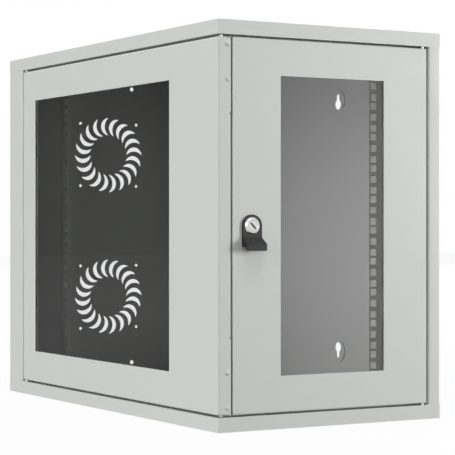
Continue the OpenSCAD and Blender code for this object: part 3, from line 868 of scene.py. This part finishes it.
class CABINET_OT_glazing(bpy.types.Operator):
    """Finishes the glass, its sealing strip and its clips"""

    bl_idname = "cabinet.glazing"
    bl_label = "Glazing"

    def execute(self, context):
        sheet = context.scene.cabinet_sheet
        soft = context.scene.cabinet_soft
        inward = {"front_door": (INTO_DEPTH, 0.0), "side_door": (-ACROSS, TWELFTH)}
        for door in inward:
            eased_solid(f"{door}_glass", f"{door}_pane", soft.arris)
            eased_solid(f"{door}_seal", f"{door}_sealing_strip", soft.arris)
            folded_sheet(
                f"{door}_clips", f"{door}_glass_clips", SKIN_WALL, sheet.bend, sheet.edge
            )
        for door, (towards, turn) in inward.items():
            nut = hex_nut(across=7, height=3.2, bore=2.05)
            repeat_on(f"{door}_clip_nuts", f"{door}_m4_nuts", nut, towards, turn)
        return {"FINISHED"}


class CABINET_OT_fittings(bpy.types.Operator):
    """Finishes the bolts, pins, latches and the earth stud"""

    bl_idname = "cabinet.fittings"
    bl_label = "Fittings"

    def execute(self, context):
        sheet = context.scene.cabinet_sheet
        edge = context.scene.cabinet_metal.edge
        bolt = hex_bolt(across=10, head=4, radius=3, length=14.5, pitch=1.0)
        repeat_on("rail_bolts", "m6_hex_bolts", bolt, None)
        nut = hex_nut(across=10, height=5, bore=3.05)
        repeat_on("rail_nuts", "m6_hex_nuts", nut, None)
        screw = pan_screw(head_radius=3.8, head=2, radius=2, length=4.7, pitch=0.7)
        repeat_on("cable_cover_screws", "m4_pan_screws", screw, None)
        stud = [(0, 0), (2.4, 0)] + thread(radius=3, top=-0.6, end=-11.0, pitch=1.0)
        stud += [(2.675, -11.4), (2.675, -18), (0, -18)]
        repeat_on("earth_stud", "welded_earth_stud", turned(stud), None)
        nut = hex_nut(across=10, height=5, bore=2.725)
        ring = [(2.725, -5), (5.85, -5), (6, -5.15), (6, -6.6), (2.725, -6.6)]
        washer = turned(ring, closed=True)
        repeat_on("earth_nut", "earth_nut_and_washer", joined(nut, washer), None)
        pin = [(0, 0), (1.6, 0), (2, -0.4), (2, -5.6), (2.2, -5.6), (2.5, -5.9), (2.5, -10)]
        pin += [(3.0, -10), (3.3, -10.3), (3.3, -11.6), (2.9, -12), (0, -12)]
        for door in ("front", "side"):
            repeat_on(f"{door}_hinge_pins", f"{door}_pivot_pins", turned(pin), None)
        repeat_on("latch_rivets", "dome_rivets", turned(rivet()), ACROSS)
        for node in ("upper_latch_bolt", "lower_latch_bolt"):
            eased_solid(node, f"{node}_turned", edge)
        for node in ("upper_latch_bracket", "lower_latch_bracket"):
            folded_sheet(node, f"{node}_pressed", SKIN_WALL, sheet.bend, sheet.edge)
        return {"FINISHED"}


class CABINET_OT_lock(bpy.types.Operator):
    """Finishes the cam lock and its finger pull"""

    bl_idname = "cabinet.lock"
    bl_label = "Lock"

    def execute(self, context):
        edge = context.scene.cabinet_metal.edge
        moulded = context.scene.cabinet_soft.moulded
        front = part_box("finger_pull")[1].x

        def pull_radius(corner):
            """The ledge's outer corners are rounder than the rest."""
            middle = (corner.verts[0].co + corner.verts[1].co) / 2
            along = corner.verts[1].co - corner.verts[0].co
            at_front = middle.x > front - 1.2 * MM and abs(along.normalized().z) > UPRIGHT
            return 3 * moulded if at_front else moulded

        pull = place_piece(merged_copy("finger_pull"), "finger_pull_moulding", ["finger_pull"])
        round_edges(pull, pull_radius)
        barrel = [(7.4, 0), (9.2, 0), (9.4, -0.1), (11.2, -1.8), (11.4, -1.95), (11.4, -2)]
        barrel += thread(radius=9.4, top=-2, end=-24.8, pitch=1.0)
        barrel += [(8.8, -25.3), (7.06, -25.3), (7.06, -0.35)]
        repeat_on("lock_barrel", "lock_head_and_barrel", turned(barrel, closed=True), ACROSS)
        nut = hex_nut(across=24, height=4, bore=9.45)
        repeat_on("lock_nut", "lock_back_nut", nut, -ACROSS, TWELFTH)
        screw = pan_screw(head_radius=5, head=3, radius=2, length=10, pitch=0.7)
        repeat_on("cam_screw", "cam_pan_screw", screw, -ACROSS)
        for node in ("lock_plug", "lock_cam"):
            eased_solid(node, f"{node}_part", edge)
        return {"FINISHED"}


class CABINET_OT_stage(bpy.types.Operator):
    """Sets up the floor, the lights, the world and the camera"""

    bl_idname = "cabinet.stage"
    bl_label = "Stage"

    def execute(self, context):
        scene = context.scene
        scene.view_settings.view_transform = "Standard"
        floor = bpy.data.objects.new("studio_floor", paper_sheet())
        floor.location.z = -FLOOR_GAP
        scene.collection.objects.link(floor)
        floor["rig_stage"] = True
        scene.world = studio_world(scene.cabinet_studio)
        middle = (CAD_BOX[0] + CAD_BOX[1]) / 2
        for name, softbox in LAMPS.items():
            lamp = bpy.data.lights.new(name, "AREA")
            lamp.shape = "RECTANGLE"
            lamp.size, lamp.size_y = softbox["size"]
            lamp.energy = softbox["power"]
            lamp.cycles.use_multiple_importance_sampling = False
            holder = bpy.data.objects.new(name, lamp)
            scene.collection.objects.link(holder)
            towards = Vector(softbox["towards"]).normalized()
            holder.location = middle + LAMP_DISTANCE * towards
            holder.rotation_euler = towards.to_track_quat("Z", "Y").to_euler()

        lens = bpy.data.cameras.new("camera")
        lens.lens = FOCAL_LENGTH
        lens.sensor_width = SENSOR_WIDTH
        lens.shift_y = CAMERA_SHIFT
        lens.clip_start = 0.05
        camera = bpy.data.objects.new("camera", lens)
        scene.collection.objects.link(camera)
        camera.location = CAMERA_PLACE
        heading = Vector((-math.sin(CAMERA_TURN), math.cos(CAMERA_TURN), 0))
        camera.rotation_euler = heading.to_track_quat("-Z", "Y").to_euler()
        scene.camera = camera
        return {"FINISHED"}


OPERATORS = (
    CABINET_OT_stage,
    CABINET_OT_carcass,
    CABINET_OT_doors,
    CABINET_OT_rails,
    CABINET_OT_glazing,
    CABINET_OT_fittings,
    CABINET_OT_lock,
)


class CABINET_PT_looks(bpy.types.Panel):
    """Lists the cabinet's operators"""

    bl_label = "Network Cabinet"
    bl_idname = "CABINET_PT_looks"
    bl_space_type = "VIEW_3D"
    bl_region_type = "UI"
    bl_category = "Cabinet"

    def draw(self, context):
        for operator in OPERATORS:
            self.layout.operator(operator.bl_idname)


CLASSES = (
    CabinetSheet, CabinetMetal, CabinetSoft, CabinetStudio, *OPERATORS, CABINET_PT_looks
)
GROUPS = {
    "cabinet_sheet": CabinetSheet,
    "cabinet_metal": CabinetMetal,
    "cabinet_soft": CabinetSoft,
    "cabinet_studio": CabinetStudio,
}


def register():
    for kind in CLASSES:
        bpy.utils.register_class(kind)
    for name, kind in GROUPS.items():
        setattr(bpy.types.Scene, name, PointerProperty(type=kind))


def unregister():
    for name in GROUPS:
        delattr(bpy.types.Scene, name)
    for kind in reversed(CLASSES):
        bpy.utils.unregister_class(kind)


def main():
    register()
    for operator in OPERATORS:
        step = operator.bl_idname.split(".")[1]
        getattr(bpy.ops.cabinet, step)()
    sizes = {"cad": CAD_BOX, "visual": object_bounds()}
    {name: [list(corner) for corner in box] for name, box in sizes.items()}


if __name__ == "__main__":
    main()
